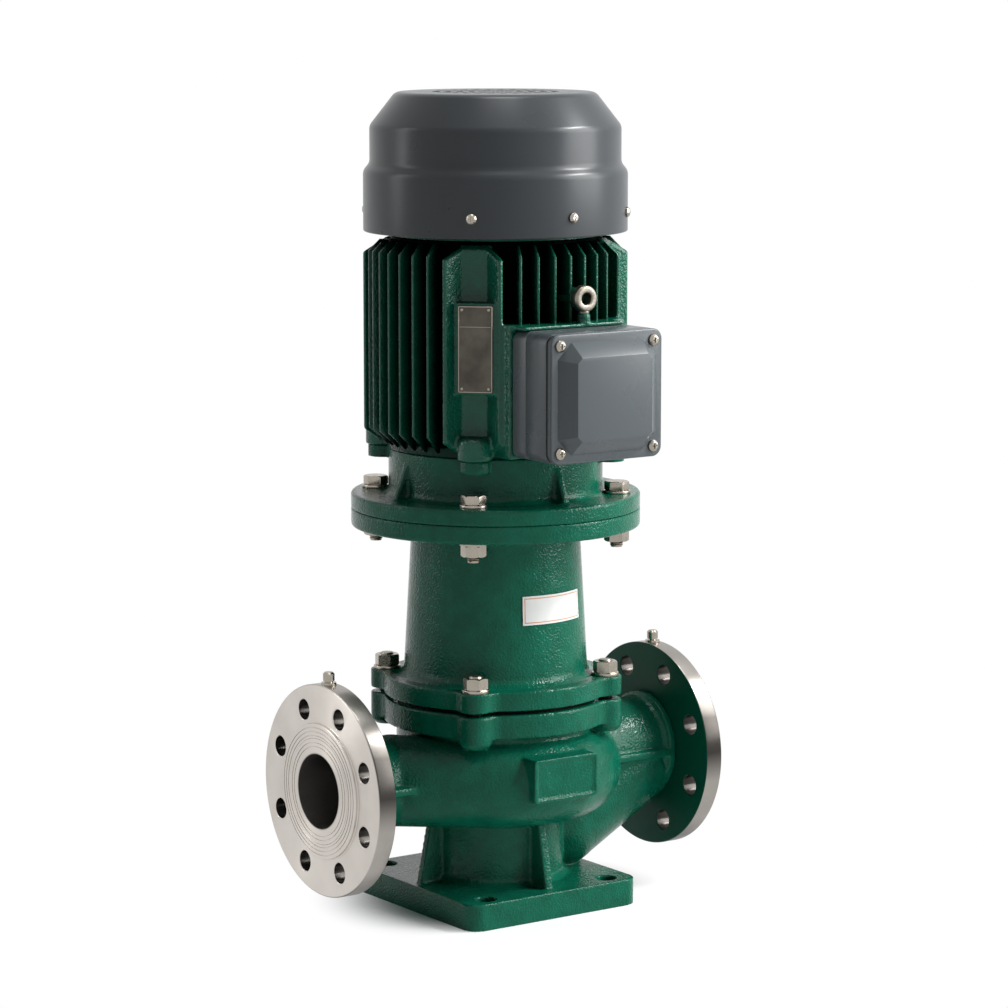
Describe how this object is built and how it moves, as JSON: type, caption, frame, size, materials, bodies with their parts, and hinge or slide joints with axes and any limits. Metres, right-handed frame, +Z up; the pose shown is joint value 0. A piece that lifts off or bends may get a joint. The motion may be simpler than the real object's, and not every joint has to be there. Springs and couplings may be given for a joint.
{
  "type": "in-line pump",
  "caption": "Vertical in-line pump with sleeved flanged ports, volute casing on a square foot, lantern and finned flange motor with terminal box.",
  "frame": {"origin": "centre of the foot's underside, on the shaft's axis", "axes": "+Z up along the shaft, suction port faces +X, discharge port faces -X, terminal box faces -Y"},
  "size_m": [0.372, 0.3024, 0.715],
  "materials": {
    "black_plastic": "moulded, matte",
    "black_rubber": "matte",
    "bright_steel": "plated, satin",
    "bronze": "machined",
    "copper": "varnished winding",
    "dark_steel": "matte",
    "green_cast": "glossy enamel over cast iron",
    "grey_paint": "satin powder coat",
    "ground_steel": "ground and polished",
    "label_film": "semi-gloss film",
    "lamination": "matte",
    "seal_ceramic": "lapped",
    "turned_steel": "turned, satin"
  },
  "bodies": {
    "pump": {"pump_casing": "green_cast", "suction_flange": "turned_steel", "discharge_flange": "turned_steel", "suction_sleeve": "dark_steel", "discharge_sleeve": "dark_steel", "suction_gauge_plug": "bright_steel", "discharge_gauge_plug": "bright_steel", "eye_wear_ring": "bronze", "casing_gasket": "black_rubber", "seal_plate": "turned_steel", "seal_seat": "seal_ceramic", "lantern": "green_cast", "cover_studs": "bright_steel", "cover_washers": "bright_steel", "cover_nuts": "bright_steel", "drive_end_shield": "green_cast", "flange_bolts": "bright_steel", "flange_washers": "bright_steel", "flange_nuts": "bright_steel", "shaft_lip_seal": "black_rubber", "motor_frame": "green_cast", "frame_screws": "green_cast", "stator_core": "lamination", "stator_windings": "copper", "rear_end_shield": "green_cast", "rear_shield_screws": "bright_steel", "fan_cowl": "grey_paint", "fan_grille": "grey_paint", "cowl_screws": "bright_steel", "lifting_eye": "bright_steel", "motor_nameplate": "bright_steel", "lantern_label": "label_film", "terminal_box_seat": "grey_paint", "terminal_box": "grey_paint", "terminal_box_gasket": "black_rubber", "terminal_box_lid": "grey_paint", "lid_screws": "bright_steel", "terminal_block": "black_plastic", "terminal_studs": "bronze", "drive_bearing_outer_ring": "ground_steel", "rear_bearing_outer_ring": "ground_steel", "bearing_preload_spring": "bright_steel"},
    "rotor": {"motor_shaft": "turned_steel", "rotor_core": "lamination", "impeller": "turned_steel", "impeller_key": "dark_steel", "impeller_nut": "bright_steel", "seal_face_ring": "seal_ceramic", "seal_spring": "bright_steel", "seal_collar": "bright_steel", "slinger_ring": "black_rubber", "drive_bearing_inner_ring": "ground_steel", "rear_bearing_inner_ring": "ground_steel", "cooling_fan": "black_plastic", "fan_circlip": "dark_steel"},
    "drive_ball_set": {"drive_bearing_balls": "ground_steel", "drive_bearing_cage": "bronze"},
    "rear_ball_set": {"rear_bearing_balls": "ground_steel", "rear_bearing_cage": "bronze"}
  },
  "joints": [
    {"name": "shaft_spin", "type": "hinge", "parent": "pump", "child": "rotor", "pos_m": [0, 0, 0.12], "axis": [0, 0, 1], "continuous": true},
    {"name": "drive_balls_spin", "type": "hinge", "parent": "pump", "child": "drive_ball_set", "pos_m": [0, 0, 0.3815], "axis": [0, 0, 1], "continuous": true},
    {"name": "rear_balls_spin", "type": "hinge", "parent": "pump", "child": "rear_ball_set", "pos_m": [0, 0, 0.5975], "axis": [0, 0, 1], "continuous": true}
  ],
  "couplings": [
    {"joint": "drive_balls_spin", "follows": "shaft_spin", "ratio": 0.3804},
    {"joint": "rear_balls_spin", "follows": "shaft_spin", "ratio": 0.3804}
  ]
}
